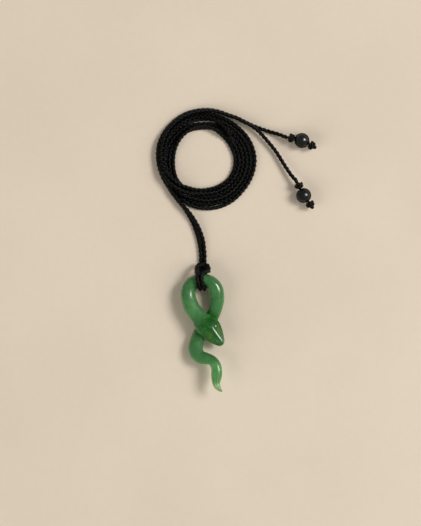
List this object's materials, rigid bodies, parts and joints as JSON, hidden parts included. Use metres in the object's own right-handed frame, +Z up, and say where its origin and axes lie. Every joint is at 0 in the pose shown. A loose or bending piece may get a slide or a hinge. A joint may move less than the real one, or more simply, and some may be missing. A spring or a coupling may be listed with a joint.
{
  "type": "snake pendant on a braided cord",
  "caption": "Carved jade snake pendant hitched on a long braided black cord that lies in a flat coil, with a polished stone bead held between knots at each end.",
  "frame": {"origin": "under the middle of the snake, on the surface that it rests on", "axes": "+Y from the snake's tail towards its loop and the coil of cord, +X to the right of that as seen from above, +Z up from the surface"},
  "size_m": [0.0643, 0.1131, 0.0086],
  "materials": {
    "jade": "polished, cloudy and slightly translucent",
    "cord": "round braid with a satin sheen",
    "black_stone": "mirror-polished"
  },
  "bodies": {
    "root": {"snake": "jade", "hitch": "cord", "neck_cord_left": "cord", "neck_cord_right": "cord", "coil": "cord", "tail_cord_upper": "cord", "tail_cord_lower": "cord", "upper_inner_knot": "cord", "upper_bead": "black_stone", "upper_thread": "cord", "upper_end_knot": "cord", "lower_inner_knot": "cord", "lower_bead": "black_stone", "lower_thread": "cord", "lower_end_knot": "cord"}
  },
  "joints": []
}
